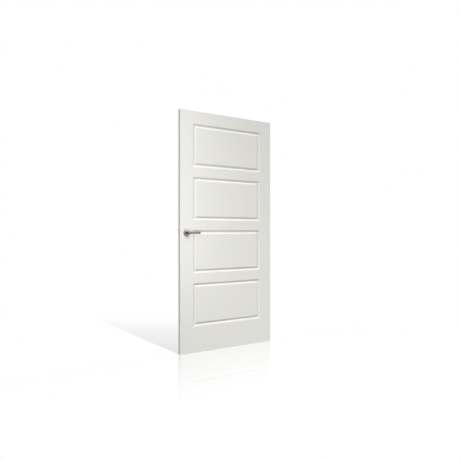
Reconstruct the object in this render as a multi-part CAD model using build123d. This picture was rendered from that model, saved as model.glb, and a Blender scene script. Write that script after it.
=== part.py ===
from build123d import *
import os
from math import cos, radians, sin, tan

# A flush-hung interior door leaf with four wide panels, its three butt hinges, a mortise latch and
# a pair of lever handles on round roses. All sizes are in millimetres.
# X runs along the width, with the lock edge at -X and the hinge edge at +X. Y runs from the front
# face, at -Y, to the rear face, at +Y. Z is up. The origin is the middle of the leaf's bottom edge.
# The leaf is drawn closed. Its hinge knuckles stand behind the rear face, so it opens towards +Y.

# Leaf
leaf_width = 930.0
leaf_height = 2115.0
leaf_thickness = 40.0
board_thickness = 9.0  # each routed face board
arris_radius = 1.5  # eased edge round each face

# Panels, as seen on either face, measured to the outside of their grooves
panel_count = 4
panel_side_margin = 120.0
panel_top_margin = 112.0
panel_bottom_margin = 229.0
panel_gap = 88.0
groove_width = 34.0
groove_slope = 22.0  # degrees from the face, on both sides of the groove
groove_root_radius = 7.0

# Frame and filling between the two face boards
stile_width = 45.0
rail_height = 60.0
bottom_rail_height = 90.0
lock_block_width = 75.0
lock_block_height = 420.0
core_tube_radius = 7.0
core_tube_pitch = 20.0
core_fit = 0.3  # gap round the filling

# Butt hinges
hinge_end_distance = 250.0  # from the leaf's top or bottom to the hinge's middle
hinge_height = 89.0
plate_thickness = 3.0
plate_front_reach = 29.5  # from the rear face into the edge
plate_corner_radius = 8.0
knuckle_radius = 7.0
knuckle_stand_off = 1.0  # gap between the knuckles and the rear face
hinge_gap = 2.0  # between the two plates when closed
notch_gap = 0.5  # between a plate and the other plate's knuckles
knuckle_gap = 0.4
bearing_gap = 2.6
bearing_clearance = 0.2
pin_radius = 4.0
pin_clearance = 0.05
pin_head_inset = 0.4  # how much smaller than the knuckles its heads are
pin_head_height = 3.0
pin_head_round = 2.1
recess_fit = 0.2
hinge_screw_length = 30.0
hinge_screw_head_radius = 4.6
hinge_screw_radius = 2.0
door_hole_clearance = 0.2
jamb_hole_radius = 2.5  # for the stouter screws into the frame
outer_hole_inset = (7.5, 11.5)  # from the plate's front edge, and from its end
inner_hole_inset = (16.0, 32.5)

# Cross recess in the screws, as shares of the head's diameter and height
cross_width_share = 0.55
cross_arm_share = 0.14
cross_depth_share = 0.6
screw_fit = 0.05

# Mortise latch
backset = 60.0
handle_height = 1050.0
case_height_below = 48.0  # from the spindle
case_height_above = 58.0
case_depth_behind = 30.0  # from the spindle
case_thickness = 14.0
case_wall = 1.5
pocket_fit = 1.0
faceplate_width = 20.0
faceplate_height = 174.0
faceplate_thickness = 3.0
faceplate_drop = 82.0  # from the spindle to the faceplate's lower end
faceplate_screw_inset = 12.0
faceplate_screw_length = 25.0
faceplate_screw_head_radius = 3.9
faceplate_screw_radius = 1.7
case_peg_height = 6.0
latch_rise = 27.0  # from the spindle to the middle of the bolt
latch_height = 19.0
latch_throw = 11.5
latch_head_length = 30.0
latch_nose_width = 3.0
latch_nose_round = 0.8
latch_fit = 0.3
tail_height = 5.0
tail_width = 3.0
guide_distance = 19.0  # from the spindle to the tail's guide
guide_thickness = 2.0
guide_height = 18.0
lug_thickness = 2.5
lug_overlap = 1.5  # past the arm's middle when the lever is down
latch_spring_wire = 0.5  # radius
latch_spring_turns = 7
return_spring_wire = 0.6  # radius
return_spring_turns = 11
spring_side_gap = 0.8
spring_seat_gap = 0.3

# Follower, which the spindle turns
lever_turn = 40.0  # degrees
follower_journal_radius = 9.0
follower_disc_radius = 11.0
follower_side_gap = 2.5  # beside its disc and arms
journal_clearance = 0.08
arm_length = 20.0
arm_angle = 20.0  # degrees, from straight up towards the back of the case
arm_tip_radius = 2.6
arm_gap = 0.6  # between the arm and the bolt's lug
rear_arm_length = 20.0
rear_arm_height = 5.0

# Spindle and lever handles
spindle_size = 8.0
spindle_end_gap = 1.5  # from the spindle's end to the lever's bend
spindle_clearance = 0.08
lever_radius = 9.5
lever_reach = 110.0  # from the spindle to the tip
lever_stand_off = 47.5  # from the face to the middle of the grip
lever_bend_radius = 14.0
lever_tip_round = 1.5
neck_journal_radius = 8.0
neck_end_gap = 1.0  # from the face to the inner end of the neck
lever_gap = 0.3  # between the lever's shoulder and the rose
grub_radius = 2.5
grub_sink = 0.65  # below the lever's surface
grub_distance = 20.0  # from the face
grub_key = 1.25  # half the width of its hexagon socket

# Roses
rose_radius = 27.5
rose_height = 9.0
rose_wall = 1.2
rose_edge_radius = 2.0
rose_base_gap = 0.3
bush_wall = 2.4
rose_bolt_distance = 19.0  # from the spindle
sleeve_radius = 3.4
sleeve_head_radius = 5.0
sleeve_head_height = 1.5
sleeve_past_middle = 5.0  # of the leaf
bolt_radius = 2.0
bolt_head_radius = 4.5
bolt_head_height = 2.5
bolt_past_middle = 9.0
bore_fit = 0.2
spindle_bore_radius = 11.0

# Places worked out from the sizes above
front = -leaf_thickness / 2
rear = leaf_thickness / 2
lock_edge = -leaf_width / 2
hinge_edge = leaf_width / 2
core_half = leaf_thickness / 2 - board_thickness
panels_span = leaf_height - panel_top_margin - panel_bottom_margin
panel_height = (panels_span - (panel_count - 1) * panel_gap) / panel_count
spindle_x = lock_edge + backset
latch_z = handle_height + latch_rise
hinge_axis_x = hinge_edge + hinge_gap / 2
hinge_axis_y = rear + knuckle_stand_off + knuckle_radius
hinge_heights = (hinge_end_distance, leaf_height / 2, leaf_height - hinge_end_distance)
case_front = lock_edge + faceplate_thickness
case_back = spindle_x + case_depth_behind
case_low = handle_height - case_height_below
case_high = handle_height + case_height_above
case_half = case_thickness / 2
case_inner_half = case_half - case_wall
faceplate_low = handle_height - faceplate_drop
faceplate_high = faceplate_low + faceplate_height
latch_half = case_inner_half - latch_fit
arm_half = case_inner_half - follower_side_gap
spindle_end = leaf_thickness / 2 + lever_stand_off - lever_bend_radius - spindle_end_gap
bush_radius = neck_journal_radius + pin_clearance + bush_wall
rose_base_thickness = rose_height - rose_wall - rose_base_gap - bolt_head_height
cut_margin = 1.0  # how far a cutter runs past the face it opens


def box_between(x, y, z):
    """A box given its low and high place on each axis."""
    sizes = [pair[1] - pair[0] for pair in (x, y, z)]
    middle = [(pair[0] + pair[1]) / 2 for pair in (x, y, z)]
    return Pos(*middle) * Box(*sizes)


def rod_x(radius, x_low, x_high, y, z):
    return Pos((x_low + x_high) / 2, y, z) * Rot(0, 90, 0) * Cylinder(radius, x_high - x_low)


def rod_y(radius, x, y_low, y_high, z):
    return Pos(x, (y_low + y_high) / 2, z) * Rot(90, 0, 0) * Cylinder(radius, y_high - y_low)


def rod_z(radius, x, y, z_low, z_high):
    return Pos(x, y, (z_low + z_high) / 2) * Cylinder(radius, z_high - z_low)


def mirrored_to_rear(shape):
    """The same piece for the other face of the leaf."""
    return mirror(shape, about=Plane.XZ)


def write(name, *solids):
    shape = solids[0] if len(solids) == 1 else Compound(children=list(solids))
    export_step(shape, f"parts/{name}.step")


# Panels and face boards


def panel_middles():
    """Height of the middle of each panel, from the top one down."""
    first = leaf_height - panel_top_margin - panel_height / 2
    return [first - i * (panel_height + panel_gap) for i in range(panel_count)]


def groove_cutter(middle_z):
    """One mitred groove round a panel: a V with a rounded root, swept round a rectangle."""
    half = groove_width / 2
    apex = half * tan(radians(groove_slope))
    with BuildSketch(Plane.XY) as section:
        with BuildLine():
            Polyline((-half, cut_margin), (-half, 0), (0, -apex), (half, 0), (half, cut_margin), close=True)
        make_face()
        fillet(section.vertices().sort_by(Axis.Y)[0], groove_root_radius)
    run_x = leaf_width / 2 - panel_side_margin - half
    run_z = panel_height / 2 - half
    low, high = middle_z - run_z, middle_z + run_z
    corners = [(-run_x, low), (run_x, low), (run_x, high), (-run_x, high)]
    path = Wire.make_polygon([Vector(x, front, z) for x, z in corners], close=True)
    # The section starts half way along the bottom run, so that no mitre falls on it.
    start = Plane(origin=(-run_x, front, low), x_dir=(0, 0, 1), z_dir=(1, 0, 0))
    return sweep(start * section.sketch.face(), path=path, transition=Transition.RIGHT)


def hinge_recess(middle_z):
    """The shallow seat of a hinge's door plate in the leaf's edge, open at the rear face."""
    return plate_blank(
        (hinge_edge - plate_thickness, hinge_edge + cut_margin), rear + cut_margin, middle_z, recess_fit
    )


def faceplate_blank(x, margin):
    """The faceplate's outline with round ends, between two places on X."""
    half = faceplate_width / 2 + margin
    ends = (faceplate_low + faceplate_width / 2, faceplate_high - faceplate_width / 2)
    return box_between(x, (-half, half), ends) + [rod_x(half, x[0], x[1], 0, z) for z in ends]


def lock_pocket():
    """The mortise for the case, and the round-ended recess for the faceplate."""
    half = case_half + pocket_fit
    pocket = box_between(
        (lock_edge - cut_margin, case_back + pocket_fit),
        (-half, half),
        (case_low - pocket_fit, case_high + pocket_fit),
    )
    return pocket + faceplate_blank((lock_edge - cut_margin, case_front), recess_fit)


def handle_bores():
    """Bores through the leaf for the spindle and the two rose bolts."""
    past = leaf_thickness / 2 + cut_margin
    bores = rod_y(spindle_bore_radius, spindle_x, -past, past, handle_height)
    for rise in (-rose_bolt_distance, rose_bolt_distance):
        bores += rod_y(sleeve_radius + bore_fit, spindle_x, -past, past, handle_height + rise)
    return bores


def hinge_screw_places(middle_z):
    """Where the four screws of one hinge lie, as (y, z)."""
    return [
        (rear - plate_front_reach + from_edge, middle_z + sign * (hinge_height / 2 - from_end))
        for from_edge, from_end in (outer_hole_inset, inner_hole_inset)
        for sign in (-1, 1)
    ]


def front_board():
    """Face board with its four routed grooves, an eased arris and the bores for the handle."""
    board = box_between((lock_edge, hinge_edge), (front, front + board_thickness), (0, leaf_height))
    board = fillet(board.faces().sort_by(Axis.Y)[0].edges(), arris_radius)
    for middle in panel_middles():
        board -= groove_cutter(middle)
    return board - handle_bores()


def rear_board(plain_front):
    """The front board turned over, with the hinge plates let into its edge."""
    board = mirrored_to_rear(plain_front)
    for middle in hinge_heights:
        board -= hinge_recess(middle)
    return board


def lock_stile():
    stile = box_between((lock_edge, lock_edge + stile_width), (-core_half, core_half), (0, leaf_height))
    stile -= lock_pocket()
    for z in faceplate_screw_heights():
        reach = faceplate_screw_length + cut_margin
        stile -= rod_x(faceplate_screw_radius + screw_fit, lock_edge, lock_edge + reach, 0, z)
    return stile


def hinge_stile():
    stile = box_between((hinge_edge - stile_width, hinge_edge), (-core_half, core_half), (0, leaf_height))
    for middle in hinge_heights:
        stile -= hinge_recess(middle)
        for y, z in hinge_screw_places(middle):
            reach = hinge_screw_length + cut_margin
            stile -= rod_x(hinge_screw_radius + screw_fit, hinge_edge - reach, hinge_edge, y, z)
    return stile


def cross_rail(low, high):
    inner = leaf_width / 2 - stile_width
    return box_between((-inner, inner), (-core_half, core_half), (low, high))


def lock_block_span():
    """Low and high place of the lock block on X and on Z."""
    x = (lock_edge + stile_width, lock_edge + stile_width + lock_block_width)
    z = (handle_height - lock_block_height / 2, handle_height + lock_block_height / 2)
    return x, z


def lock_block():
    x, z = lock_block_span()
    return box_between(x, (-core_half, core_half), z) - lock_pocket() - handle_bores()


def tubular_core():
    """Chipboard filling with upright round tubes, cut round the lock block."""
    inner = leaf_width / 2 - stile_width - core_fit
    low, high = bottom_rail_height + core_fit, leaf_height - rail_height - core_fit
    slab = box_between((-inner, inner), (-core_half, core_half), (low, high))
    block_x, block_z = lock_block_span()
    notch_z = (block_z[0] - core_fit, block_z[1] + core_fit)
    count = int((2 * inner - core_tube_pitch) / core_tube_pitch)
    first = -(count - 1) / 2 * core_tube_pitch
    tubes = [
        rod_z(core_tube_radius, first + i * core_tube_pitch, 0, low - cut_margin, high + cut_margin)
        for i in range(count)
    ]
    slab -= tubes
    notch = box_between((-inner - cut_margin, block_x[1] + core_fit), (-core_half, core_half), notch_z)
    return slab - notch


# Screws


def cross_recess(head_radius, head_height):
    """Cutter for the cross in a screw's head, whose top is at the origin."""
    arm = Box(
        2 * head_radius * cross_width_share,
        2 * head_radius * cross_arm_share,
        2 * head_height * cross_depth_share,
    )
    return arm + Rot(0, 0, 90) * arm


def wood_screw(length, head_radius, shank_radius):
    """A countersunk screw that points down, with the top of its head at the origin."""
    head_depth = head_radius - shank_radius
    with BuildSketch(Plane.XZ) as half:
        with BuildLine():
            Polyline(
                (0, 0),
                (head_radius, 0),
                (shank_radius, -head_depth),
                (shank_radius, -length + 2 * shank_radius),
                (0, -length),
                close=True,
            )
        make_face()
    screw = revolve(half.sketch, axis=Axis.Z)
    return screw - cross_recess(head_radius, head_depth)


def countersunk_hole(radius, head_radius, thickness):
    """Cutter for a hole that takes such a screw, with the head's top at the origin."""
    depth = head_radius - radius
    cone = Pos(0, 0, -depth / 2) * Cone(radius, head_radius, depth)
    return cone + rod_z(radius, 0, 0, -thickness - cut_margin, cut_margin)


# Hinges


def knuckle_spans(middle_z):
    """Low and high place of the five knuckles, from the bottom up. The wider gaps hold the bearings."""
    gaps = (knuckle_gap, bearing_gap, bearing_gap, knuckle_gap)
    length = (hinge_height - sum(gaps)) / (len(gaps) + 1)
    low = middle_z - hinge_height / 2
    spans = [(low, low + length)]
    for gap in gaps:
        low += length + gap
        spans.append((low, low + length))
    return spans


def plate_blank(x, rear_end, middle_z, margin):
    """A hinge plate's outline, with the two corners in the leaf rounded."""
    half = hinge_height / 2 + margin
    blank = box_between(x, (rear - plate_front_reach - margin, rear_end), (middle_z - half, middle_z + half))
    inner_corners = blank.edges().filter_by(Axis.X).group_by(Axis.Y)[0]
    return fillet(inner_corners, plate_corner_radius)


def hinge_leaf(x, holes_open_at, hole_radius, middle_z, own_knuckles):
    """A plate with its own knuckles rolled round the pin. The screw heads open at one face on X."""
    leaf = plate_blank(x, hinge_axis_y - knuckle_radius - notch_gap, middle_z, 0)
    spans = knuckle_spans(middle_z)
    for index in own_knuckles:
        low, high = spans[index]
        leaf += box_between(x, (rear - plate_thickness, hinge_axis_y), (low, high))
        leaf += rod_z(knuckle_radius, hinge_axis_x, hinge_axis_y, low, high)
    leaf -= rod_z(
        pin_radius + pin_clearance,
        hinge_axis_x,
        hinge_axis_y,
        middle_z - hinge_height,
        middle_z + hinge_height,
    )
    turn = 90 if holes_open_at == x[1] else -90
    for y, z in hinge_screw_places(middle_z):
        hole = countersunk_hole(hole_radius, hinge_screw_head_radius + screw_fit, plate_thickness)
        leaf -= Pos(holes_open_at, y, z) * Rot(0, turn, 0) * hole
    return leaf


def door_plate(middle_z):
    x = (hinge_edge - plate_thickness, hinge_edge)
    return hinge_leaf(x, x[1], hinge_screw_radius + door_hole_clearance, middle_z, (1, 3))


def jamb_plate(middle_z):
    x = (hinge_edge + hinge_gap, hinge_edge + hinge_gap + plate_thickness)
    return hinge_leaf(x, x[0], jamb_hole_radius, middle_z, (0, 2, 4))


def hinge_pin(middle_z):
    """A plain pin with a rounded button at each end."""
    half = hinge_height / 2
    pin = rod_z(pin_radius, hinge_axis_x, hinge_axis_y, middle_z - half, middle_z + half)
    button = rod_z(knuckle_radius - pin_head_inset, 0, 0, 0, pin_head_height)
    button = fillet(button.edges().group_by(Axis.Z)[-1], pin_head_round)
    upper = Pos(hinge_axis_x, hinge_axis_y, middle_z + half) * button
    lower = Pos(hinge_axis_x, hinge_axis_y, middle_z - half) * Rot(180, 0, 0) * button
    return pin + upper + lower


def bearing_rings(middle_z):
    """Two bearing rings, one each side of the middle knuckle."""
    spans = knuckle_spans(middle_z)
    rings = []
    for below in (1, 2):
        low = spans[below][1] + bearing_clearance
        high = spans[below + 1][0] - bearing_clearance
        ring = rod_z(knuckle_radius, hinge_axis_x, hinge_axis_y, low, high)
        ring -= rod_z(pin_radius + pin_clearance, hinge_axis_x, hinge_axis_y, low, high)
        rings.append(ring)
    return rings


def hinge_screws(middle_z):
    screw = wood_screw(hinge_screw_length, hinge_screw_head_radius, hinge_screw_radius)
    return [Pos(hinge_edge, y, z) * Rot(0, 90, 0) * screw for y, z in hinge_screw_places(middle_z)]


# Mortise latch


def rose_bolt_holes(radius):
    """The two holes that the rose bolts need through the case."""
    return [
        rod_y(radius, spindle_x, -case_thickness, case_thickness, handle_height + rise)
        for rise in (-rose_bolt_distance, rose_bolt_distance)
    ]


def tail_span():
    """Low and high place of the bolt's tail on X: from its head to past the lug."""
    lug_front = spindle_x + arm_length * sin(radians(arm_angle)) + arm_tip_radius + arm_gap
    return lock_edge - latch_throw + latch_head_length, lug_front


def lock_case():
    """A folded tray with a guide for the bolt's tail and a peg for the return spring."""
    low, high = case_low, case_high
    tray = box_between((case_front, case_back), (-case_half, case_half - case_wall), (low, high))
    tray -= box_between(
        (case_front - cut_margin, case_back - case_wall),
        (-case_inner_half, case_half),
        (low + case_wall, high - case_wall),
    )
    guide_x = (spindle_x - guide_distance, spindle_x - guide_distance + guide_thickness)
    guide = box_between(
        guide_x,
        (-case_inner_half, case_inner_half),
        (latch_z - guide_height / 2, latch_z + guide_height / 2),
    )
    guide -= box_between(
        (guide_x[0] - cut_margin, guide_x[1] + cut_margin),
        (-tail_width / 2 - latch_fit, tail_width / 2 + latch_fit),
        (latch_z - tail_height / 2 - latch_fit, latch_z + tail_height / 2 + latch_fit),
    )
    peg_radius = spring_radius(return_spring_wire) - 2 * return_spring_wire
    peg = rod_z(peg_radius, return_spring_x(), 0, low, low + case_wall + case_peg_height)
    tray += guide + peg
    tray -= rod_y(
        follower_journal_radius + journal_clearance, spindle_x, -case_thickness, 0, handle_height
    )
    return tray - rose_bolt_holes(sleeve_radius + bore_fit)


def lock_cover():
    """The flat lid of the case."""
    cover = box_between(
        (case_front, case_back), (case_half - case_wall, case_half), (case_low, case_high)
    )
    cover -= rod_y(
        follower_journal_radius + journal_clearance, spindle_x, 0, case_thickness, handle_height
    )
    return cover - rose_bolt_holes(sleeve_radius + bore_fit)


def faceplate_screw_heights():
    return faceplate_low + faceplate_screw_inset, faceplate_high - faceplate_screw_inset


def faceplate():
    plate = faceplate_blank((lock_edge, case_front), 0)
    plate -= box_between(
        (lock_edge - cut_margin, case_front + cut_margin),
        (-case_inner_half, case_inner_half),
        (latch_z - latch_height / 2 - latch_fit, latch_z + latch_height / 2 + latch_fit),
    )
    for z in faceplate_screw_heights():
        hole = countersunk_hole(
            faceplate_screw_radius + screw_fit, faceplate_screw_head_radius + screw_fit, faceplate_thickness
        )
        plate -= Pos(lock_edge, 0, z) * Rot(0, -90, 0) * hole
    return plate


def faceplate_screws():
    screw = wood_screw(faceplate_screw_length, faceplate_screw_head_radius, faceplate_screw_radius)
    return [Pos(lock_edge, 0, z) * Rot(0, -90, 0) * screw for z in faceplate_screw_heights()]


def latch_bolt():
    """Bevelled head, flat tail and the lug that the follower's arm pushes back."""
    nose = lock_edge - latch_throw
    outline = Polyline(
        (nose, latch_half),
        (nose, latch_half - latch_nose_width),
        (lock_edge - latch_fit, -latch_half),
        (nose + latch_head_length, -latch_half),
        (nose + latch_head_length, latch_half),
        close=True,
    )
    head = extrude(Plane.XY.offset(latch_z - latch_height / 2) * make_face(outline), latch_height)
    head = fillet(head.edges().filter_by(Axis.Z).group_by(Axis.X)[0], latch_nose_round)
    tail_low, lug_front = tail_span()
    tail_top = latch_z + tail_height / 2
    tail = box_between(
        (tail_low, lug_front + lug_thickness),
        (-tail_width / 2, tail_width / 2),
        (tail_top - tail_height, tail_top),
    )
    arm_low = handle_height + arm_length * cos(radians(arm_angle + lever_turn))
    lug = box_between(
        (lug_front, lug_front + lug_thickness), (-arm_half, arm_half), (arm_low - lug_overlap, tail_top)
    )
    return head + tail + lug


def spring_radius(wire):
    """From a spring's axis to the middle of its wire, so that it fits in the case."""
    return case_inner_half - spring_side_gap - wire


def coil_spring(length, wire, turns):
    """An upright compression spring that starts at the origin."""
    rise = length - 2 * wire
    helix = Helix(pitch=rise / turns, height=rise, radius=spring_radius(wire))
    section = Plane(origin=helix @ 0, z_dir=helix % 0) * Circle(wire)
    return Pos(0, 0, wire) * sweep(section, path=helix, is_frenet=True)


def latch_spring():
    """Pushes the bolt out: it lies round the tail, between the head and the guide."""
    start = tail_span()[0] + spring_seat_gap
    length = spindle_x - guide_distance - spring_seat_gap - start
    coil = coil_spring(length, latch_spring_wire, latch_spring_turns)
    return Pos(start, 0, latch_z) * Rot(0, 90, 0) * coil


def return_spring_x():
    return spindle_x + rear_arm_length - spring_radius(return_spring_wire)


def return_spring():
    """Lifts the follower's rear arm, and so brings the lever back."""
    low = case_low + case_wall + spring_seat_gap
    high = handle_height - rear_arm_height / 2 - spring_seat_gap
    coil = coil_spring(high - low, return_spring_wire, return_spring_turns)
    return Pos(return_spring_x(), 0, low) * coil


def follower():
    """Hub with a square hole, an arm for the bolt and an arm for the return spring."""
    hub = rod_y(follower_journal_radius, spindle_x, -case_half, case_half, handle_height)
    hub += rod_y(follower_disc_radius, spindle_x, -arm_half, arm_half, handle_height)
    arm = box_between((-arm_tip_radius, arm_tip_radius), (-arm_half, arm_half), (0, arm_length))
    arm += rod_y(arm_tip_radius, 0, -arm_half, arm_half, arm_length)
    hub += Pos(spindle_x, 0, handle_height) * Rot(0, arm_angle, 0) * arm
    hub += box_between(
        (spindle_x, spindle_x + rear_arm_length),
        (-arm_half, arm_half),
        (handle_height - rear_arm_height / 2, handle_height + rear_arm_height / 2),
    )
    half = spindle_size / 2 + spindle_clearance
    hub -= box_between(
        (spindle_x - half, spindle_x + half),
        (-case_thickness, case_thickness),
        (handle_height - half, handle_height + half),
    )
    return hub


# Handle set


def spindle():
    half = spindle_size / 2
    return box_between(
        (spindle_x - half, spindle_x + half),
        (-spindle_end, spindle_end),
        (handle_height - half, handle_height + half),
    )


def front_lever():
    """Round lever in one piece: journal, neck, bend and grip, with a square socket."""
    rose_front = front - rose_height - lever_gap
    grip_y = front - lever_stand_off
    corner = (spindle_x, grip_y, handle_height)
    tip = (spindle_x + lever_reach, grip_y, handle_height)
    path = FilletPolyline((spindle_x, rose_front, handle_height), corner, tip, radius=lever_bend_radius)
    section = Plane(origin=path @ 0, z_dir=path % 0) * Circle(lever_radius)
    lever = sweep(section, path=path)
    lever = fillet(lever.edges().sort_by(Axis.X)[-1], lever_tip_round)
    lever += rod_y(neck_journal_radius, spindle_x, rose_front, front - neck_end_gap, handle_height)
    half = spindle_size / 2 + spindle_clearance
    lever -= box_between(
        (spindle_x - half, spindle_x + half),
        (-spindle_end - spindle_clearance, front),
        (handle_height - half, handle_height + half),
    )
    hole_y = front - grub_distance
    lever -= rod_z(
        grub_radius + screw_fit, spindle_x, hole_y, handle_height - 2 * lever_radius, handle_height
    )
    return lever


def front_grub_screw():
    """Short socket screw that clamps the lever on the spindle, from below."""
    low = handle_height - lever_radius + grub_sink
    high = handle_height - spindle_size / 2 - screw_fit
    hole_y = front - grub_distance
    grub = rod_z(grub_radius, spindle_x, hole_y, low, high)
    key = RegularPolygon(grub_key, 6, major_radius=False)
    return grub - Pos(spindle_x, hole_y, low) * extrude(key, (high - low) / 2)


def turned(*points):
    """A piece turned about the spindle's axis, from (radius, distance in front of the face)."""
    outline = Polyline(*[(spindle_x + r, front - d, handle_height) for r, d in points], close=True)
    return revolve(make_face(outline), axis=Axis((spindle_x, 0, handle_height), (0, 1, 0)))


def front_rose_cover():
    """A thin pressed cup with a rounded rim and a round hole for the neck."""
    hole = bush_radius + pin_clearance
    cup = turned((0, 0), (rose_radius, 0), (rose_radius, rose_height), (0, rose_height))
    cup = fillet(cup.edges().sort_by(Axis.Y)[0], rose_edge_radius)
    inner = rose_radius - rose_wall
    depth = rose_height - rose_wall
    hollow = turned((0, -cut_margin), (inner, -cut_margin), (inner, depth), (0, depth))
    hollow = fillet(hollow.edges().sort_by(Axis.Y)[0], rose_edge_radius - rose_wall)
    cup -= hollow
    return cup - rod_y(hole, spindle_x, 2 * front, 0, handle_height)


def front_rose_base():
    """Round base that carries the cover and the neck bush, held by the two rose bolts."""
    rim = rose_radius - rose_wall - rose_base_gap
    hole = bush_radius + pin_clearance
    thin = rose_base_thickness / 2
    base = turned(
        (hole, 0),
        (rim, 0),
        (rim, rose_base_thickness),
        (rim - rose_wall, rose_base_thickness),
        (rim - rose_wall, thin),
        (hole + rose_wall, thin),
        (hole + rose_wall, rose_base_thickness),
        (hole, rose_base_thickness),
    )
    for rise in (-rose_bolt_distance, rose_bolt_distance):
        z = handle_height + rise
        boss = rod_y(sleeve_head_radius, spindle_x, front - rose_base_thickness, front, z)
        base += boss & rod_y(rim, spindle_x, 2 * front, 0, handle_height)
        base -= rod_y(sleeve_radius + bore_fit, spindle_x, 2 * front, 0, z)
    return base - rod_y(hole, spindle_x, 2 * front, 0, handle_height)


def front_neck_bush():
    """Bearing ring between the rose and the lever's journal."""
    inner = neck_journal_radius + pin_clearance
    low, high = neck_end_gap, rose_height
    return turned((inner, low), (bush_radius, low), (bush_radius, high), (inner, high))


def rose_sleeves():
    """Sleeve nuts that reach in from the front base."""
    base_top = front - rose_base_thickness
    sleeves = []
    for rise in (-rose_bolt_distance, rose_bolt_distance):
        z = handle_height + rise
        sleeve = rod_y(sleeve_head_radius, spindle_x, base_top - sleeve_head_height, base_top, z)
        sleeve += rod_y(sleeve_radius, spindle_x, base_top, sleeve_past_middle, z)
        sleeve -= rod_y(bolt_radius + screw_fit, spindle_x, base_top, rear, z)
        sleeves.append(sleeve)
    return sleeves


def rose_bolts():
    """Bolts that come through from the rear base into the sleeve nuts."""
    base_top = rear + rose_base_thickness
    bolts = []
    for rise in (-rose_bolt_distance, rose_bolt_distance):
        z = handle_height + rise
        bolt = rod_y(bolt_head_radius, spindle_x, base_top, base_top + bolt_head_height, z)
        bolt += rod_y(bolt_radius, spindle_x, -bolt_past_middle, base_top, z)
        cross = cross_recess(bolt_head_radius, bolt_head_height)
        bolt -= Pos(spindle_x, base_top + bolt_head_height, z) * Rot(90, 0, 0) * cross
        bolts.append(bolt)
    return bolts


def main():
    os.makedirs("parts", exist_ok=True)

    face_board = front_board()
    write("front_board", face_board)
    write("rear_board", rear_board(face_board))
    write("lock_stile", lock_stile())
    write("hinge_stile", hinge_stile())
    write("top_rail", cross_rail(leaf_height - rail_height, leaf_height))
    write("bottom_rail", cross_rail(0, bottom_rail_height))
    write("lock_block", lock_block())
    write("core", tubular_core())

    for name, middle in zip(("bottom", "middle", "top"), hinge_heights):
        write(f"{name}_hinge_door_plate", door_plate(middle))
        write(f"{name}_hinge_jamb_plate", jamb_plate(middle))
        write(f"{name}_hinge_pin", hinge_pin(middle))
        write(f"{name}_hinge_bearings", *bearing_rings(middle))
        write(f"{name}_hinge_screws", *hinge_screws(middle))

    write("lock_case", lock_case())
    write("lock_cover", lock_cover())
    write("faceplate", faceplate())
    write("faceplate_screws", *faceplate_screws())
    write("latch_bolt", latch_bolt())
    write("latch_spring", latch_spring())
    write("return_spring", return_spring())
    write("follower", follower())

    write("spindle", spindle())
    pairs = {
        "lever": front_lever(),
        "grub_screw": front_grub_screw(),
        "rose_cover": front_rose_cover(),
        "rose_base": front_rose_base(),
        "neck_bush": front_neck_bush(),
    }
    for name, piece in pairs.items():
        write(f"front_{name}", piece)
        write(f"rear_{name}", mirrored_to_rear(piece))
    write("rose_sleeves", *rose_sleeves())
    write("rose_bolts", *rose_bolts())


main()
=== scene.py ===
from math import pi, radians, tan

import bmesh
import bpy
from bmesh.types import BMEdge, BMVert
from mathutils import Matrix, Vector


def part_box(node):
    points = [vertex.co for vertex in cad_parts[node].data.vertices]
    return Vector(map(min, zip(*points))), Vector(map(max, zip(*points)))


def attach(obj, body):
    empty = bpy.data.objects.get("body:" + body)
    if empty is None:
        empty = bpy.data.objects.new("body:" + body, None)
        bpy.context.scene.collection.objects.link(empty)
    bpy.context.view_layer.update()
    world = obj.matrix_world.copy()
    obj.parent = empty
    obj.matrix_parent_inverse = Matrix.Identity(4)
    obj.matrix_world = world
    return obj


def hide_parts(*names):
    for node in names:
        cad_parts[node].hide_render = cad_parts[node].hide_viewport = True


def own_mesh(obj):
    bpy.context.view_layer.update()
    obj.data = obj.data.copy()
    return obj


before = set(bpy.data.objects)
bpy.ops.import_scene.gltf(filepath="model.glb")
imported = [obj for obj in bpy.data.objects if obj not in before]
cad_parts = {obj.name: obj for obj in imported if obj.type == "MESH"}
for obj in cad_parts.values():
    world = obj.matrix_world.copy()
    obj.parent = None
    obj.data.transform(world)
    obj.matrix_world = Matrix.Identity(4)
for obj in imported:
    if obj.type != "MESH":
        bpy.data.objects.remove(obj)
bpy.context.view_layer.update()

bl_info = {
    "name": "Panelled interior door",
    "version": (1, 0, 0),
    "blender": (4, 5, 0),
    "location": "View3D > Sidebar > Door",
    "description": "Dresses a hung interior door leaf with lacquer, lever handles, latch and hinges",
    "category": "Object",
}

# Where the construction puts things, in metres
BOARD_LOW, BOARD_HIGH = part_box("front_board")
LEVER_LOW, LEVER_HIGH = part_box("front_lever")
ROSE_LOW, ROSE_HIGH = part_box("front_rose_cover")
BUSH_LOW, BUSH_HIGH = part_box("front_neck_bush")
GRUB_LOW, GRUB_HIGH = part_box("front_grub_screw")
SLEEVES_LOW, SLEEVES_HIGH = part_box("rose_sleeves")
ROSE_RADIUS = (ROSE_HIGH.z - ROSE_LOW.z) / 2
BUSH_RADIUS = (BUSH_HIGH.z - BUSH_LOW.z) / 2
SPINDLE = Vector((ROSE_LOW.x + ROSE_RADIUS, 0, ROSE_LOW.z + ROSE_RADIUS))
HINGES = ("bottom", "middle", "top")

# Sizes of the construction that no box shows, in metres
SPINDLE_BORE = 0.011
SLEEVE_BORE = 0.0036
PLATE_THICKNESS = 0.003
PLATE_FIT = 0.0002  # round a hinge plate in its seat
RUNNING_FIT = 0.00005  # between parts that turn in each other
NECK_GAP = 0.0003  # between a lever's shoulder and its rose

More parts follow.
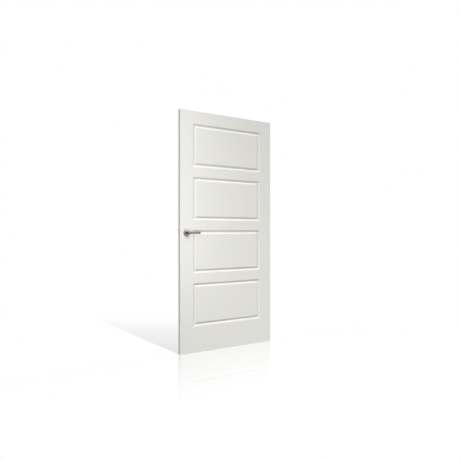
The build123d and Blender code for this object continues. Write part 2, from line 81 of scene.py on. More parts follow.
# How finely the new meshes are made
ROD_SIDES, TURNED_SIDES = 48, 96
LEVER_SIDES, BEND_STEPS = 64, 16
WIRE_SIDES, COIL_STEPS = 12, 24
SMALL_ROUND = 0.0003  # on the edges of plates, rings and the bolt
BACK_CHAMFER = 0.00015  # round the hidden side of a face board
SHARP = radians(35)  # an edge that bends more is broken
CREASE = radians(20)  # shading breaks over an edge that bends more
RIM_BEND = radians(60)  # the outer edges of a board bend more, its groove edges less
FLAT = radians(1)  # faces that meet at less are one
FACING = 0.9  # share of a face's normal along an axis, where the face looks that way
SAME_PLACE, SAME_PLANE = 1e-6, 1e-5  # closer than this counts as touching
BORE_REACH = 0.05  # of a drill to both sides of the leaf's middle
PAST = 0.01  # how far any other cutting tool runs past what it cuts

# Painted shade: the lacquer's colour is made a little darker in the grooves, where shade falls
GROOVE_SHADE_DEPTH = 0.0008  # below the face, where the tone is reached
GROOVE_SHADE_MARGIN = 0.05  # plain border of the leaf without grooves
GROOVE_SHADE_TONE = (0.964, 0.961, 0.952)  # share of the lacquer's colour
SKIN = 0.0001  # depth of the lacquer on the pine's outer edges

# How the floor looks to the camera
FLOOR_HALF = 15
FLOOR_SHADE = 0.743  # its brightness in the door's shadow
FLOOR_HEADING = (0.473, 0.881, 0)  # away from the camera
FLOOR_FADE = (-0.2, 1.2)  # where it turns plain white, along that heading
MIRROR_SHARE = 0.41  # of the reflection at the leaf's foot
MIRROR_FADE = (-0.95, -0.02)  # where the reflection starts and is full, along Y


def shown(red, green, blue):
    """A colour as a screen shows it, from 0 to 255, as the linear values that a shader takes."""
    return tuple(
        v / 12.92 if v <= 0.04045 else ((v + 0.055) / 1.055) ** 2.4
        for v in (red / 255, green / 255, blue / 255)
    )


# Sizes and colours that a user may change


class DoorPanels(bpy.types.PropertyGroup):
    """The routed panels on both faces and the eased edges round them."""

    count: bpy.props.IntProperty(
        name="Panels", description="How many panels stand on each other", default=4, min=1,
    )
    side_margin: bpy.props.FloatProperty(
        name="Side margin", description="From the leaf's long edge to a groove", default=0.120,
        unit="LENGTH",
    )
    top_margin: bpy.props.FloatProperty(
        name="Top margin", description="From the leaf's top to the first groove", default=0.112,
        unit="LENGTH",
    )
    bottom_margin: bpy.props.FloatProperty(
        name="Bottom margin", description="From the leaf's bottom to the last groove",
        default=0.229, unit="LENGTH",
    )
    gap: bpy.props.FloatProperty(
        name="Gap", description="Plain rail between two panels", default=0.088, unit="LENGTH",
    )
    groove_width: bpy.props.FloatProperty(
        name="Groove width", description="Across both slopes of a groove", default=0.034,
        unit="LENGTH",
    )
    groove_slope: bpy.props.FloatProperty(
        name="Groove slope", description="How steep the sides of a groove are",
        default=radians(22), subtype="ANGLE",
    )
    groove_root: bpy.props.FloatProperty(
        name="Groove root", description="Radius at the bottom of a groove", default=0.007,
        unit="LENGTH",
    )
    groove_lip: bpy.props.FloatProperty(
        name="Groove lip", description="How far the lacquer rounds the groove's two edges",
        default=0.0004, unit="LENGTH",
    )
    arris: bpy.props.FloatProperty(
        name="Arris", description="Radius of the eased edge round each face", default=0.0015,
        unit="LENGTH",
    )


class DoorHandle(bpy.types.PropertyGroup):
    """The pair of levers and their roses."""

    bend: bpy.props.FloatProperty(
        name="Bend", description="Radius of the lever's bend, at the middle of the bar",
        default=0.014, unit="LENGTH",
    )
    tip_round: bpy.props.FloatProperty(
        name="Tip round", description="Rounding of the lever's end", default=0.0015, unit="LENGTH",
    )
    journal: bpy.props.FloatProperty(
        name="Journal", description="Radius of the neck inside the rose", default=0.008,
        unit="LENGTH",
    )
    rose_wall: bpy.props.FloatProperty(
        name="Rose wall", description="Sheet thickness of the rose cover", default=0.0012,
        unit="LENGTH",
    )
    rose_rim: bpy.props.FloatProperty(
        name="Rose rim", description="Radius of the rose cover's rounded rim", default=0.002,
        unit="LENGTH",
    )


class DoorLatch(bpy.types.PropertyGroup):
    """The springs inside the mortise latch."""

    latch_wire: bpy.props.FloatProperty(
        name="Bolt spring wire", description="Radius of the wire behind the bolt", default=0.0005,
        unit="LENGTH",
    )
    latch_turns: bpy.props.IntProperty(
        name="Bolt spring turns", description="Turns of the spring behind the bolt", default=7,
        min=2,
    )
    throw: bpy.props.FloatProperty(
        name="Throw", description="How far the bolt slides back", default=0.0115, unit="LENGTH",
    )
    return_wire: bpy.props.FloatProperty(
        name="Return spring wire", description="Radius of the wire under the follower's arm",
        default=0.0006, unit="LENGTH",
    )
    return_turns: bpy.props.IntProperty(
        name="Return spring turns", description="Turns of the spring under the follower's arm",
        default=11, min=2,
    )
    return_travel: bpy.props.FloatProperty(
        name="Return travel", description="How far the follower's arm presses the spring down",
        default=0.0125, unit="LENGTH",
    )


class DoorFinish(bpy.types.PropertyGroup):
    """Colours and surface detail of the door."""

    lacquer: bpy.props.FloatVectorProperty(
        name="Lacquer", description="White of the sprayed leaf", subtype="COLOR", size=3,
        default=shown(240, 239, 234), min=0, max=1,
    )
    lacquer_roughness: bpy.props.FloatProperty(
        name="Lacquer roughness", description="Satin sheen of the leaf", default=0.42, min=0,
        max=1, subtype="FACTOR",
    )
    nickel: bpy.props.FloatVectorProperty(
        name="Handle metal", description="Warm satin metal of the levers and roses",
        subtype="COLOR", size=3, default=shown(99, 93, 90), min=0, max=1,
    )
    steel: bpy.props.FloatVectorProperty(
        name="Hinge metal", description="Satin stainless steel of the hinges", subtype="COLOR",
        size=3, default=shown(172, 171, 168), min=0, max=1,
    )
    zinc: bpy.props.FloatVectorProperty(
        name="Zinc plate", description="Plated sheet and cast parts inside the latch",
        subtype="COLOR", size=3, default=shown(176, 178, 180), min=0, max=1,
    )
    pine: bpy.props.FloatVectorProperty(
        name="Pine", description="Bare wood of the frame inside the leaf", subtype="COLOR",
        size=3, default=shown(222, 190, 140), min=0, max=1,
    )


class DoorStage(bpy.types.PropertyGroup):
    """Camera, lamps and floor."""

    eye: bpy.props.FloatVectorProperty(
        name="Eye", description="Where the camera stands", subtype="XYZ", unit="LENGTH", size=3,
        default=(-1.6486, -3.1354, 1.058),
    )
    turn: bpy.props.FloatProperty(
        name="Turn", description="How far the camera looks to the right of straight ahead",
        subtype="ANGLE", default=radians(28.2),
    )
    lens: bpy.props.FloatProperty(
        name="Lens", description="Focal length on a 36 mm wide sensor, in millimetres",
        default=30.15, min=10, max=200,
    )
    rise: bpy.props.FloatProperty(
        name="Rise", description="Vertical shift of the picture, as a share of its width",
        default=0.0037,
    )
    high_light: bpy.props.FloatProperty(
        name="High light", description="Strength of the broad soft light from high on the left",
        default=3.2, min=0,
    )
    high_spread: bpy.props.FloatProperty(
        name="High light spread", description="Width of the broad soft light, seen from the door",
        default=radians(40), subtype="ANGLE",
    )
    low_power: bpy.props.FloatProperty(
        name="Low lamp", description="Power of the low lamp near the leaf", default=18.6, min=0,
        unit="POWER",
    )
    edge_power: bpy.props.FloatProperty(
        name="Edge lamp", description="Power of the tall lamp beside the lock edge", default=1.92,
        min=0, unit="POWER",
    )
    rear_power: bpy.props.FloatProperty(
        name="Rear lamp", description="Power of the lamp behind the leaf on the hinge side",
        default=720, min=0, unit="POWER",
    )
    card_power: bpy.props.FloatProperty(
        name="Rose card", description="Power of the small card that the front rose mirrors",
        default=0.3, min=0, unit="POWER",
    )
    lever_card_power: bpy.props.FloatProperty(
        name="Lever card", description="Power of the small card that the front lever mirrors",
        default=0.65, min=0, unit="POWER",
    )
    floor_sun: bpy.props.FloatProperty(
        name="Floor light",
        description="Strength of the light that only draws the door's shadow on the floor",
        default=4.9, min=0,
    )
    sky: bpy.props.FloatProperty(
        name="Surroundings", description="Strength of the pale light from all round",
        default=0.12, min=0, max=2,
    )


# Materials


class Surface:
    """A new material under construction, read from the place on the object."""

    def __init__(self, name, roughness, metallic=0.0):
        self.material = bpy.data.materials.new(name)
        self.material.use_nodes = True
        self.nodes = self.material.node_tree.nodes
        self.links = self.material.node_tree.links
        self.shader = self.nodes["Principled BSDF"]
        self.shader.inputs["Roughness"].default_value = roughness
        self.shader.inputs["Metallic"].default_value = metallic
        self.place = self.nodes.new("ShaderNodeTexCoord").outputs["Object"]

    def stretched(self, scale, offset=(0, 0, 0)):
        """The place, moved and stretched by a factor on each axis."""
        mapping = self.nodes.new("ShaderNodeMapping")
        mapping.inputs["Location"].default_value = offset
        mapping.inputs["Scale"].default_value = scale
        self.links.new(self.place, mapping.inputs["Vector"])
        return mapping.outputs["Vector"]

    def coordinates(self):
        """The place on each axis."""
        split = self.nodes.new("ShaderNodeSeparateXYZ")
        self.links.new(self.place, split.inputs[0])
        return split.outputs

    def noise(self, vector, scale, detail=2.0, dimensions="3D"):
        texture = self.nodes.new("ShaderNodeTexNoise")
        texture.noise_dimensions = dimensions
        texture.inputs["Scale"].default_value = scale
        texture.inputs["Detail"].default_value = detail
        self.links.new(vector, texture.inputs["W" if dimensions == "1D" else "Vector"])
        return texture.outputs["Fac"]

    def blend(self, factor, low, high):
        """A colour that goes from low to high with a factor."""
        mix = self.nodes.new("ShaderNodeMix")
        mix.data_type = "RGBA"
        for socket, colour in (("A", low), ("B", high)):
            if isinstance(colour, bpy.types.NodeSocket):
                self.links.new(colour, mix.inputs[socket])
            else:
                mix.inputs[socket].default_value = (*[min(1, c) for c in colour], 1)
        self.links.new(factor, mix.inputs["Factor"])
        return mix.outputs["Result"]

    def tone(self, factor, colour, low, high):
        """A colour that goes from one share of itself to another with a factor."""
        return self.blend(factor, [low * c for c in colour], [high * c for c in colour])

    def span(self, factor, low, high, start=0.0, end=1.0):
        """A number that goes from low to high while a factor goes from start to end."""
        spread = self.nodes.new("ShaderNodeMapRange")
        spread.inputs["From Min"].default_value = start
        spread.inputs["From Max"].default_value = end
        spread.inputs["To Min"].default_value = low
        spread.inputs["To Max"].default_value = high
        self.links.new(factor, spread.inputs["Value"])
        return spread.outputs["Result"]

    def math(self, operation, *values):
        node = self.nodes.new("ShaderNodeMath")
        node.operation = operation
        for socket, value in zip(node.inputs, values):
            if isinstance(value, bpy.types.NodeSocket):
                self.links.new(value, socket)
            else:
                socket.default_value = value
        return node.outputs["Value"]

    def colour(self, socket):
        self.links.new(socket, self.shader.inputs["Base Color"])

    def roughness(self, socket):
        self.links.new(socket, self.shader.inputs["Roughness"])

    def bump(self, height, strength, depth):
        bump = self.nodes.new("ShaderNodeBump")
        bump.inputs["Strength"].default_value = strength
        bump.inputs["Distance"].default_value = depth
        self.links.new(height, bump.inputs["Height"])
        self.links.new(bump.outputs["Normal"], self.shader.inputs["Normal"])


def sprayed(surface, lacquer):
    """Gives a surface the fine orange peel of sprayed lacquer. Returns its uneven tone and the
    pattern that the tone follows."""
    surface.shader.inputs["Specular IOR Level"].default_value = 0.35
    surface.bump(surface.noise(surface.place, scale=320.0), strength=0.06, depth=0.0004)
    cloud = surface.noise(surface.place, scale=3.0, detail=3.0)
    return surface.tone(cloud, lacquer, low=0.985, high=1.01), cloud


def lacquer_material(name, finish):
    """Sprayed satin lacquer on the face boards, with painted shade that makes its colour a little
    darker in the grooves.
    """
    surface = Surface(name, finish.lacquer_roughness)
    tone, cloud = sprayed(surface, finish.lacquer)
    place = surface.coordinates()
    face, middle = -BOARD_LOW.y, (BOARD_LOW.z + BOARD_HIGH.z) / 2
    out = surface.math("ABSOLUTE", place["Y"])
    sunk = surface.span(out, 1, 0, face - GROOVE_SHADE_DEPTH, face)
    across = surface.math("ABSOLUTE", place["X"])
    across = surface.math("LESS_THAN", across, BOARD_HIGH.x - GROOVE_SHADE_MARGIN)
    along = surface.math("ABSOLUTE", surface.math("SUBTRACT", place["Z"], middle))
    along = surface.math("LESS_THAN", along, middle - BOARD_LOW.z - GROOVE_SHADE_MARGIN)
    # painted shade: below the face, inside the grooves, the lacquer's colour is darkened
    groove = surface.math("MULTIPLY", sunk, surface.math("MULTIPLY", across, along))
    shaded_lacquer = [share * c for share, c in zip(GROOVE_SHADE_TONE, finish.lacquer)]
    surface.colour(surface.blend(groove, tone, shaded_lacquer))
    sheen = finish.lacquer_roughness
    surface.roughness(surface.span(cloud, sheen - 0.04, sheen + 0.04))
    return surface.material


def pine_material(name, finish):
    """Planed pine with growth lines along the height, lacquered on the leaf's outer edges."""
    surface = Surface(name, roughness=0.62)
    tone, _ = sprayed(surface, finish.lacquer)
    lines = surface.noise(surface.stretched((140, 140, 4)), scale=1.0, detail=4.0)
    lines = surface.span(lines, 0, 1, start=0.35, end=0.65)
    wood = surface.tone(lines, finish.pine, low=0.72, high=1)
    place = surface.coordinates()
    side = surface.math("ABSOLUTE", place["X"])
    side = surface.math("GREATER_THAN", side, BOARD_HIGH.x - SKIN)
    top = surface.math("GREATER_THAN", place["Z"], BOARD_HIGH.z - SKIN)
    bottom = surface.math("LESS_THAN", place["Z"], BOARD_LOW.z + SKIN)
    outside = surface.math("MAXIMUM", side, surface.math("MAXIMUM", top, bottom))
    surface.colour(surface.blend(outside, wood, tone))
    surface.roughness(surface.span(outside, 0.62, finish.lacquer_roughness))
    return surface.material


def chipboard_material(name, finish):
    """Pressed chips of many tones."""
    surface = Surface(name, roughness=0.8)
    chips = surface.nodes.new("ShaderNodeTexVoronoi")
    chips.inputs["Scale"].default_value = 1.0
    surface.links.new(surface.stretched((260, 400, 120)), chips.inputs["Vector"])
    tone = surface.nodes.new("ShaderNodeSeparateColor")
    surface.links.new(chips.outputs["Color"], tone.inputs[0])
    surface.colour(surface.tone(tone.outputs[0], finish.pine, low=0.55, high=0.95))
    surface.bump(chips.outputs["Distance"], strength=0.4, depth=0.0004)
    return surface.material


def scratched(surface, lines, roughness):
    """Gives a metal the sheen and the relief of its scratches."""
    surface.roughness(surface.span(lines, roughness - 0.05, roughness + 0.07))
    surface.bump(lines, strength=0.12, depth=0.0001)
    return surface.material


def brushed_material(name, colour, roughness, grain):
    """Brushed metal: fine scratches, drawn out along the axes where the grain is coarse."""
    surface = Surface(name, roughness, metallic=1.0)
    lines = surface.noise(surface.stretched(grain), scale=1.0, detail=4.0)
    surface.colour(surface.tone(lines, colour, low=0.9, high=1.1))
    return scratched(surface, lines, roughness)


def turned_material(name, colour, roughness):
    """Metal brushed in rings round the spindle."""
    surface = Surface(name, roughness, metallic=1.0)
    radius = surface.nodes.new("ShaderNodeVectorMath")
    radius.operation = "LENGTH"
    flat = surface.stretched((1, 0, 1), (-SPINDLE.x, 0, -SPINDLE.z))
    surface.links.new(flat, radius.inputs[0])
    rings = surface.noise(radius.outputs["Value"], scale=5000.0, detail=3.0, dimensions="1D")
    cloud = surface.noise(surface.place, scale=60.0)
    mottled = surface.math("MULTIPLY_ADD", cloud, 0.3, rings)
    surface.colour(surface.tone(mottled, colour, low=0.86, high=1.08))
    return scratched(surface, rings, roughness)


def cast_material(name, colour, roughness, metallic, scale, spread=0.16):
    """Plated, blackened, moulded or coated parts: a tone mottled by a spread, and a fine grain."""
    surface = Surface(name, roughness, metallic)
    mottle = surface.noise(surface.place, scale, detail=5.0)
    surface.colour(surface.tone(mottle, colour, low=1 - spread, high=1 + spread))
    surface.roughness(surface.span(mottle, roughness - 0.07, roughness + 0.09))
    surface.bump(surface.noise(surface.place, 9 * scale), strength=0.15, depth=0.0001)
    return surface.material


def paint(node, material):
    """Gives a carried-over node its material."""
    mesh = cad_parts[node].data
    mesh.materials.clear()
    mesh.materials.append(material)


# Shaping helpers


def box_shape(bm, low, high):
    """A box between two corners."""
    low, high = Vector(low), Vector(high)
    place = Matrix.Translation((low + high) / 2) @ Matrix.Diagonal((*(high - low), 1))
    bmesh.ops.create_cube(bm, size=1, matrix=place)


def rod_shape(bm, radius, start, end):
    """A closed rod between two points."""
    along = end - start
    turn = along.to_track_quat("Z", "Y").to_matrix().to_4x4()
    bmesh.ops.create_cone(
        bm, cap_ends=True, segments=ROD_SIDES, radius1=radius, radius2=radius,
        depth=along.length, matrix=Matrix.Translation((start + end) / 2) @ turn,
    )


def only(kind, geom):
    """The elements of one kind among those that an operator made."""
    return [element for element in geom if isinstance(element, kind)]


def round_off(bm, elements, offset, segments, affect="EDGES"):
    """Rounds edges, or the corners of an outline."""
    bmesh.ops.bevel(
        bm, geom=list(elements), offset=offset, offset_type="OFFSET", segments=segments,
        profile=0.5, affect=affect, clamp_overlap=True, material=-1,
    )


def turned_shape(outline, rounds):
    """Turns a closed outline about the spindle. Each point is (radius, distance in front of the
    face), and each round is (point, size)."""
    bm = bmesh.new()
    corners = [
        bm.verts.new((SPINDLE.x + radius, BOARD_LOW.y - out, SPINDLE.z))
        for radius, out in outline
    ]
    bm.faces.new(corners)
    for point, size in rounds:
        round_off(bm, [corners[point]], size, segments=6, affect="VERTICES")
    bmesh.ops.delete(bm, geom=list(bm.faces), context="FACES_ONLY")
    bmesh.ops.spin(
        bm, geom=list(bm.verts) + list(bm.edges), cent=SPINDLE, axis=(0, 1, 0), angle=2 * pi,
        steps=TURNED_SIDES, use_merge=True,
    )
    bmesh.ops.remove_doubles(bm, verts=bm.verts, dist=SAME_PLACE)
    bmesh.ops.recalc_face_normals(bm, faces=bm.faces)
    return bm


def carved(bm, tools):
    """Takes closed tool shapes out of a closed shape."""
    parts = []
    for name, shape in (("stock", bm), ("tools", tools)):
        mesh = bpy.data.meshes.new(name)
        shape.to_mesh(mesh)
        shape.free()
        part = bpy.data.objects.new(name, mesh)
        bpy.context.scene.collection.objects.link(part)
        parts.append(part)
    stock, cutter = parts
    modifier = stock.modifiers.new("carve", "BOOLEAN")
    modifier.operation = "DIFFERENCE"
    modifier.solver = "EXACT"
    modifier.object = cutter
    result = bmesh.new()
    result.from_object(stock, bpy.context.evaluated_depsgraph_get())
    for part in parts:
        mesh = part.data
        bpy.data.objects.remove(part)
        bpy.data.meshes.remove(mesh)
    return result


def mirrored(bm):
    """The same shape for the rear face."""
    bmesh.ops.scale(bm, vec=(1, -1, 1), verts=bm.verts)
    bmesh.ops.recalc_face_normals(bm, faces=bm.faces)
    return bm


def finished(name, bm, material, body, nodes):
    """Makes a piece of a closed shape, smooth apart from its creases, in place of construction
    nodes."""
    for face in bm.faces:
        face.smooth = True
    for edge in bm.edges:
        edge.smooth = len(edge.link_faces) == 2 and edge.calc_face_angle() < CREASE
    mesh = bpy.data.meshes.new(name)
    bm.to_mesh(mesh)
    bm.free()
    mesh.materials.append(material)
    piece = bpy.data.objects.new(name, mesh)
    bpy.context.scene.collection.objects.link(piece)
    weighted = piece.modifiers.new("even_normals", "WEIGHTED_NORMAL")
    weighted.weight = 100
    weighted.keep_sharp = True
    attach(piece, body)
    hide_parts(*nodes)
    return piece


def refined_shape(node):
    """A merged copy of a construction node with its sharp edges broken."""
    bm = bmesh.new()
    bm.from_mesh(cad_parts[node].data)
    bmesh.ops.remove_doubles(bm, verts=bm.verts, dist=SAME_PLACE)
    bmesh.ops.dissolve_limit(bm, angle_limit=FLAT, verts=bm.verts, edges=bm.edges)
    sharp = [e for e in bm.edges if len(e.link_faces) == 2 and e.calc_face_angle() > SHARP]
    round_off(bm, sharp, SMALL_ROUND, segments=2)
    return bm


# Leaf


def panel_rows(panels):
    """Low and high place of each panel's groove."""
    height = BOARD_HIGH.z - BOARD_LOW.z - panels.top_margin - panels.bottom_margin
    row = (height - (panels.count - 1) * panels.gap) / panels.count
    first = BOARD_LOW.z + panels.bottom_margin
    lows = [first + i * (row + panels.gap) for i in range(panels.count)]
    return [(low, low + row) for low in lows]


def board_shape(panels):
    """The front face board: cut into a grid, with a mitred groove let in round each panel."""
    bm = bmesh.new()
    box_shape(bm, BOARD_LOW, BOARD_HIGH)
    side = BOARD_HIGH.x - panels.side_margin
    rows = panel_rows(panels)
    planes = [((x, 0, 0), (1, 0, 0)) for x in (-side, side)]
    planes += [((0, 0, z), (0, 0, 1)) for row in rows for z in row]
    for point, normal in planes:
        geom = list(bm.verts) + list(bm.edges) + list(bm.faces)
        bmesh.ops.bisect_plane(bm, geom=geom, dist=SAME_PLACE, plane_co=point, plane_no=normal)

    def is_panel(face):
        middle = face.calc_center_median()
        inside = abs(middle.x) < side and any(low < middle.z < high for low, high in rows)
        return inside and face.normal.y < -FACING

    def edges_at(y, least, most=pi):
        """The edges in a plane along the face that bend by an angle between two limits."""
        edges = [e for e in bm.edges if all(abs(v.co.y - y) < SAME_PLANE for v in e.verts)]
        return [e for e in edges if least < e.calc_face_angle(0) < most]

    fields = [face for face in bm.faces if is_panel(face)]
    half = panels.groove_width / 2
    depth = half * tan(panels.groove_slope)
    for sink in (-depth, depth):
        bmesh.ops.inset_individual(
            bm, faces=fields, thickness=half, depth=sink, use_even_offset=True,
        )
    root = edges_at(BOARD_LOW.y + depth, FLAT)
    round_off(bm, root, panels.groove_root * tan(panels.groove_slope), segments=8)
    lips = edges_at(BOARD_LOW.y, FLAT, RIM_BEND)
    round_off(bm, lips, panels.groove_lip, segments=3)
    round_off(bm, edges_at(BOARD_LOW.y, RIM_BEND), panels.arris, segments=5)
    round_off(bm, edges_at(BOARD_HIGH.y, RIM_BEND), BACK_CHAMFER, segments=1)
    return bm


def handle_bores():
    """Tools for the bores through the leaf."""
    tools = bmesh.new()
    sleeve = (SLEEVES_HIGH.x - SLEEVES_LOW.x) / 2
    apart = (SLEEVES_HIGH.z - SLEEVES_LOW.z) / 2 - sleeve
    for rise, radius in ((-apart, SLEEVE_BORE), (0, SPINDLE_BORE), (apart, SLEEVE_BORE)):
        start = SPINDLE + Vector((0, -BORE_REACH, rise))
        rod_shape(tools, radius, start, start + Vector((0, 2 * BORE_REACH, 0)))
    return tools


def hinge_seats(tools):
    """Adds tools for the seats of the hinge plates in the rear board's edge."""
    for hinge in HINGES:
        low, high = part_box(f"{hinge}_hinge_door_plate")
        inner = (high.x - PLATE_THICKNESS, -BOARD_HIGH.y, low.z - PLATE_FIT)
        box_shape(tools, inner, (high.x + PAST, PAST - BOARD_LOW.y, high.z + PLATE_FIT))
    return tools


class DOOR_OT_leaf(bpy.types.Operator):
    """Routes and lacquers the two face boards"""

    bl_idname = "door.leaf"
    bl_label = "Face boards"

    def execute(self, context):
        panels, finish = context.scene.door_panels, context.scene.door_finish
        lacquer = lacquer_material("white_lacquer", finish)
        front = carved(board_shape(panels), handle_bores())
        finished("front_face_board", front, lacquer, "leaf", ["front_board"])
        rear = carved(mirrored(board_shape(panels)), hinge_seats(handle_bores()))
        finished("rear_face_board", rear, lacquer, "leaf", ["rear_board"])
        return {"FINISHED"}


class DOOR_OT_filling(bpy.types.Operator):
    """Finishes the pine frame with its lacquered edges, the lock block and the chipboard core"""

    bl_idname = "door.filling"
    bl_label = "Frame and filling"

    def execute(self, context):
        finish = context.scene.door_finish
        pine = pine_material("softwood", finish)
        for node in ("lock_stile", "hinge_stile", "top_rail", "bottom_rail", "lock_block"):
            paint(node, pine)
        paint("core", chipboard_material("chipboard", finish))
        return {"FINISHED"}


# Handle set


def lever_shape(handle):
    """The front lever: a round bar led from the rose round a bend to its tip, and its journal."""
    radius = (LEVER_HIGH.z - LEVER_LOW.z) / 2
    shoulder_y = ROSE_LOW.y - NECK_GAP
    bend_y = LEVER_LOW.y + radius + handle.bend
    bm = bmesh.new()
    place = Matrix.Translation((SPINDLE.x, shoulder_y, SPINDLE.z))
    place @= Matrix.Rotation(pi / 2, 4, "X")
    bmesh.ops.create_circle(
        bm, cap_ends=False, segments=LEVER_SIDES, radius=radius, matrix=place,
    )
    ring = list(bm.edges)

    def run(edges, step):
        """Draws a ring of edges out to a tube and returns the ring at its new end."""
        made = bmesh.ops.extrude_edge_only(bm, edges=edges)["geom"]
        bmesh.ops.translate(bm, vec=step, verts=only(BMVert, made))
        return only(BMEdge, made)

    last = run(ring, (0, bend_y - shoulder_y, 0))
    spun = bmesh.ops.spin(
        bm, geom=last + list(dict.fromkeys(v for e in last for v in e.verts)),
        cent=(SPINDLE.x + handle.bend, bend_y, SPINDLE.z), axis=(0, 0, 1), angle=pi / 2,
        steps=BEND_STEPS,
    )["geom_last"]
    last = run(only(BMEdge, spun), (LEVER_HIGH.x - SPINDLE.x - handle.bend, 0, 0))
    tip = bmesh.ops.contextual_create(bm, geom=last)["faces"]
    bmesh.ops.contextual_create(bm, geom=ring)
    bmesh.ops.recalc_face_normals(bm, faces=bm.faces)
    round_off(bm, [e for f in tip for e in f.edges], handle.tip_round, segments=6)
    root = [
        f for f in bm.faces
        if f.calc_center_median().y > shoulder_y - SAME_PLACE and f.normal.y > FACING
    ]
    bmesh.ops.inset_region(
        bm, faces=root, thickness=radius - handle.journal, use_even_offset=True,
    )
    journal = bmesh.ops.extrude_face_region(bm, geom=root)["geom"]
    bmesh.ops.translate(bm, vec=(0, LEVER_HIGH.y - shoulder_y, 0), verts=only(BMVert, journal))
    bmesh.ops.delete(bm, geom=root, context="FACES")
    bmesh.ops.recalc_face_normals(bm, faces=bm.faces)
    tools = bmesh.new()
    at = Vector((SPINDLE.x, (GRUB_LOW.y + GRUB_HIGH.y) / 2, 0))
    start, end = (at + Vector((0, 0, z)) for z in (LEVER_LOW.z - PAST, GRUB_HIGH.z))
    rod_shape(tools, (GRUB_HIGH.x - GRUB_LOW.x) / 2 + RUNNING_FIT, start, end)
    return carved(bm, tools)


def rose_shape(handle):
    """A pressed cup with a rounded rim and a hole for the neck bush."""
    outer, hole = ROSE_RADIUS, BUSH_RADIUS + RUNNING_FIT
    height = ROSE_HIGH.y - ROSE_LOW.y
    inner, roof = outer - handle.rose_wall, height - handle.rose_wall
    outline = [
        (inner, 0), (outer, 0), (outer, height), (hole, height), (hole, roof), (inner, roof),
    ]
    inner_rim = handle.rose_rim - handle.rose_wall
    return turned_shape(outline, [(2, handle.rose_rim), (3, SMALL_ROUND), (5, inner_rim)])


def bush_shape(handle):
    """The dark bearing ring round the neck."""
    inner = handle.journal + RUNNING_FIT
    low, high = BOARD_LOW.y - BUSH_HIGH.y, BOARD_LOW.y - BUSH_LOW.y
    outline = [(inner, low), (BUSH_RADIUS, low), (BUSH_RADIUS, high), (inner, high)]
    return turned_shape(outline, [(2, SMALL_ROUND), (3, SMALL_ROUND)])


class DOOR_OT_handles(bpy.types.Operator):
    """Shapes the two levers, roses and neck bushes"""

    bl_idname = "door.handles"
    bl_label = "Handles"

    def execute(self, context):
        handle, finish = context.scene.door_handle, context.scene.door_finish
        lever_metal = brushed_material(
            "lever_nickel", finish.nickel, roughness=0.3, grain=(300, 2600, 2600),
        )
        rose_metal = turned_material("rose_nickel", finish.nickel, roughness=0.3)
        nylon = cast_material(
            "black_nylon", shown(34, 34, 35), roughness=0.55, metallic=0.0, scale=400.0,
        )
        black = cast_material(
            "blackened_steel", shown(40, 40, 42), roughness=0.45, metallic=0.8, scale=900.0,
        )
        for side in ("front", "rear"):
            for name, node, shape, material, slot, body in (
                ("lever_bar", "lever", lever_shape, lever_metal, "satin_nickel", "handle"),
                ("rose", "rose_cover", rose_shape, rose_metal, "satin_nickel", "leaf"),
                ("bush", "neck_bush", bush_shape, nylon, "nylon", "leaf"),
            ):
                bm = shape(handle)
                if side == "rear":
                    bm = mirrored(bm)
                finished(f"{side}_{name}", bm, material, body, [f"{side}_{node}"])
            paint(f"{side}_rose_base", nylon)
            paint(f"{side}_grub_screw", black)
        return {"FINISHED"}


# Latch and hinges


def coil_shape(node, axis, wire, turns):
    """A compression spring of round wire between the ends of its construction node."""
    low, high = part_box(node)
    across = 2 if axis == 0 else 0
    along, side = Vector(), Vector()
    along[axis] = side[across] = 1
    radius = (high[across] - low[across]) / 2 - wire
    start = (low + high) / 2
    start[axis] = low[axis] + wire
    rise = high[axis] - low[axis] - 2 * wire
    facing = along.cross(side).to_track_quat("Z", "Y").to_matrix().to_4x4()
    steps = turns * COIL_STEPS
    bm = bmesh.new()
    bmesh.ops.create_circle(
        bm, cap_ends=False, segments=WIRE_SIDES, radius=wire,
        matrix=Matrix.Translation(start + radius * side) @ facing,
    )
    bmesh.ops.spin(
        bm, geom=list(bm.verts) + list(bm.edges), cent=start, axis=along,
        dvec=along * rise / steps, angle=2 * pi * turns, steps=steps, use_merge=False,
    )
    ends = [e for e in bm.edges if len(e.link_faces) == 1]
    bmesh.ops.holes_fill(bm, edges=ends, sides=0)
    bmesh.ops.recalc_face_normals(bm, faces=bm.faces)
    return bm


class DOOR_OT_latch(bpy.types.Operator):
    """Finishes the faceplate, the bolt and the works of the mortise latch"""

    bl_idname = "door.latch"
    bl_label = "Latch"

    def execute(self, context):
        works, finish = context.scene.door_latch, context.scene.door_finish
        coat = cast_material(
            "white_powder_coat", finish.lacquer, roughness=0.45, metallic=0.0, scale=700.0,
            spread=0.02,
        )
        bright = brushed_material(
            "bright_steel", shown(182, 181, 178), roughness=0.28, grain=(400, 400, 3000),
        )
        zinc = cast_material("zinc_plate", finish.zinc, roughness=0.42, metallic=0.9, scale=260.0)
        spring = brushed_material(
            "spring_steel", shown(120, 121, 124), roughness=0.35, grain=(900, 900, 900),
        )
        for name, node, material, slot, body in (
            ("latch_faceplate", "faceplate", coat, "white_faceplate", "leaf"),
            ("latch_tongue", "latch_bolt", bright, "bright_steel", "bolt"),
        ):
            finished(name, refined_shape(node), material, body, [node])
        for node in (
            "lock_case", "lock_cover", "follower", "spindle", "rose_sleeves", "rose_bolts",
        ):
            paint(node, zinc)
        paint("faceplate_screws", bright)
        coil = coil_shape("latch_spring", 0, works.latch_wire, works.latch_turns)
        coil = finished("latch_coil", coil, spring, "leaf", ["latch_spring"])
        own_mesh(coil)
        coil = coil_shape("return_spring", 2, works.return_wire, works.return_turns)
        coil = finished("return_coil", coil, spring, "leaf", ["return_spring"])
        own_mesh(coil)
        return {"FINISHED"}


